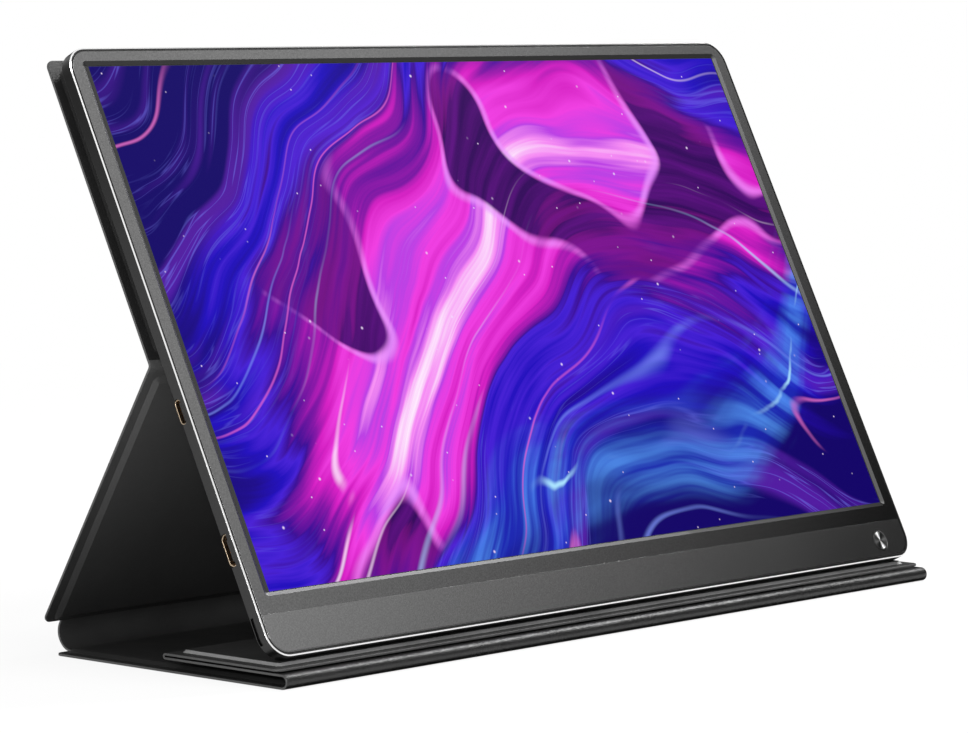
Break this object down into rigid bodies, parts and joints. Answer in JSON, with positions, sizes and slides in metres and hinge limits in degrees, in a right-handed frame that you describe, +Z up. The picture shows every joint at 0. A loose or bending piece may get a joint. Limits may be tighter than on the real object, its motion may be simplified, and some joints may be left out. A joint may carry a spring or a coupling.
{
  "type": "portable monitor with folding cover",
  "caption": "Slim portable monitor standing on its own magnetic cover, which folds into a base, a sloping leg and a back panel.",
  "frame": {"origin": "centre of the footprint on the surface that the base panel rests on", "axes": "+X along the screen to the right as one faces it, +Y to the back, +Z up; the screen faces -Y and leans back"},
  "size_m": [0.36, 0.12, 0.2098],
  "materials": {
    "case_frame": "satin charcoal lacquer with a polished chamfer",
    "case_back": "fine matt charcoal",
    "bezel": "smooth matt charcoal",
    "chin": "finely grained charcoal",
    "foam": "black closed-cell foam",
    "screen": null,
    "white_film": "white film",
    "guide": "clear moulded acrylic",
    "lamps": "white strip with small lamps",
    "panel_frame": "black moulded frame",
    "steel": "bare pressed steel",
    "board": "green solder mask",
    "flex": "amber film with copper tracks",
    "chips": "black moulded electronics",
    "port_steel": "plated steel shell",
    "port_gold": "gold-plated shell and contacts",
    "speaker_box": "black moulded box",
    "speaker_cloth": "fine black cloth",
    "wire": "red insulation",
    "screws": "zinc-plated steel",
    "button": "spun bright metal",
    "magnet": "nickel-plated magnet",
    "card": "stiff grey board",
    "skin": "black pebbled artificial leather"
  },
  "bodies": {
    "base": {"base_outer_skin": "skin", "base_board": "card", "base_inner_skin": "skin", "spine_strip": "skin", "front_fold_strip": "skin"},
    "leg": {"leg_outer_skin": "skin", "leg_board": "card", "leg_inner_skin": "skin", "mid_fold_strip": "skin"},
    "upper": {"upper_outer_skin": "skin", "upper_board": "card", "upper_inner_skin": "skin", "upper_magnets": "magnet"},
    "riser": {"riser_outer_skin": "skin", "riser_board": "card", "riser_inner_skin": "skin", "rear_fold_strip": "skin"},
    "flap": {"flap_outer_skin": "skin", "flap_board": "card", "flap_inner_skin": "skin", "flap_magnets": "magnet"},
    "monitor": {"side_frame": "case_frame", "rear_cover": "case_back", "front_bezel": "bezel", "chin_plate": "chin", "screen_gasket": "foam", "display_glass": "screen", "diffuser_sheets": "white_film", "light_guide": "guide", "reflector_sheet": "white_film", "led_strip": "lamps", "panel_frame": "panel_frame", "panel_back_plate": "steel", "driver_board": "board", "driver_films": "flex", "display_cable": "white_film", "main_board": "board", "display_chip": "chips", "thermal_pad": "foam", "board_parts": "chips", "usb_c_port": "port_steel", "mini_hdmi_port": "port_gold", "speaker_left": "speaker_box", "speaker_right": "speaker_box", "speaker_mesh_left": "speaker_cloth", "speaker_mesh_right": "speaker_cloth", "speaker_wires": "wire", "button_switch": "chips", "button_board": "board", "button_flex": "flex", "board_screws": "screws", "frame_screws": "screws", "catch_plates": "steel"},
    "button": {"power_button": "button"}
  },
  "joints": [
    {"name": "stand_fold", "type": "hinge", "parent": "base", "child": "leg", "pos_m": [0, 0.0532, 0.00685], "axis": [-1, 0, 0], "range_deg": [0, 120.1], "deforming": ["spine_strip"]},
    {"name": "mid_fold", "type": "hinge", "parent": "leg", "child": "upper", "pos_m": [0, 0.00657, 0.1034], "axis": [1, 0, 0], "range_deg": [0, 56.7], "deforming": ["mid_fold_strip"]},
    {"name": "lift_off", "type": "slide", "parent": "upper", "child": "monitor", "axis": [0, 0.4462, 0.8949], "range_m": [0, 0.23]},
    {"name": "front_fold", "type": "hinge", "parent": "base", "child": "riser", "pos_m": [0, -0.05745, 0.0026], "axis": [1, 0, 0], "range_deg": [0, 180], "deforming": ["front_fold_strip"]},
    {"name": "flap_fold", "type": "hinge", "parent": "riser", "child": "flap", "pos_m": [0, -0.00245, 0.00545], "axis": [-1, 0, 0], "range_deg": [0, 180], "deforming": ["rear_fold_strip"]},
    {"name": "power_press", "type": "slide", "parent": "monitor", "child": "button", "axis": [0, 0.8949, -0.4462], "range_m": [0, 0.0005], "stiffness_N_per_m": 400}
  ],
  "couplings": [
    {"joint": "mid_fold", "follows": "stand_fold", "ratio": 0.47191},
    {"joint": "front_fold", "follows": "lift_off", "rad_per_m": 13.645},
    {"joint": "flap_fold", "follows": "lift_off", "rad_per_m": 13.645}
  ]
}
